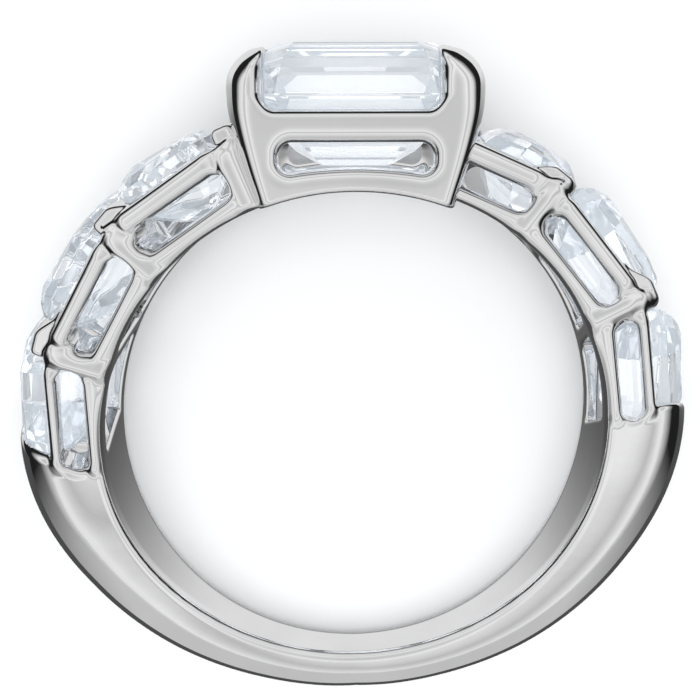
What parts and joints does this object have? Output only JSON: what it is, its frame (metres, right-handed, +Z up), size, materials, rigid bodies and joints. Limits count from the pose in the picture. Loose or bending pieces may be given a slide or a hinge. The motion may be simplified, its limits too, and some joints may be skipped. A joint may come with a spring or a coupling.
{
  "type": "anniversary band",
  "caption": "Plain tapered finger band with a raised half-bezel head for a large step-cut stone and open galleries of smaller step-cut stones down both shoulders.",
  "frame": {"origin": "middle of the bounding box at the surface the ring lies on", "axes": "+Z up, +Y from the finger hole towards the head, +X to the right seen from above"},
  "size_m": [0.0234, 0.0236, 0.0064],
  "materials": {
    "white_metal": "mirror polished",
    "colourless_stone": "polished facets"
  },
  "bodies": {
    "root": {"ring_setting": "white_metal", "center_stone": "colourless_stone", "side_stone_left_1": "colourless_stone", "side_stone_left_2": "colourless_stone", "side_stone_left_3": "colourless_stone", "side_stone_right_1": "colourless_stone", "side_stone_right_2": "colourless_stone", "side_stone_right_3": "colourless_stone"}
  },
  "joints": []
}
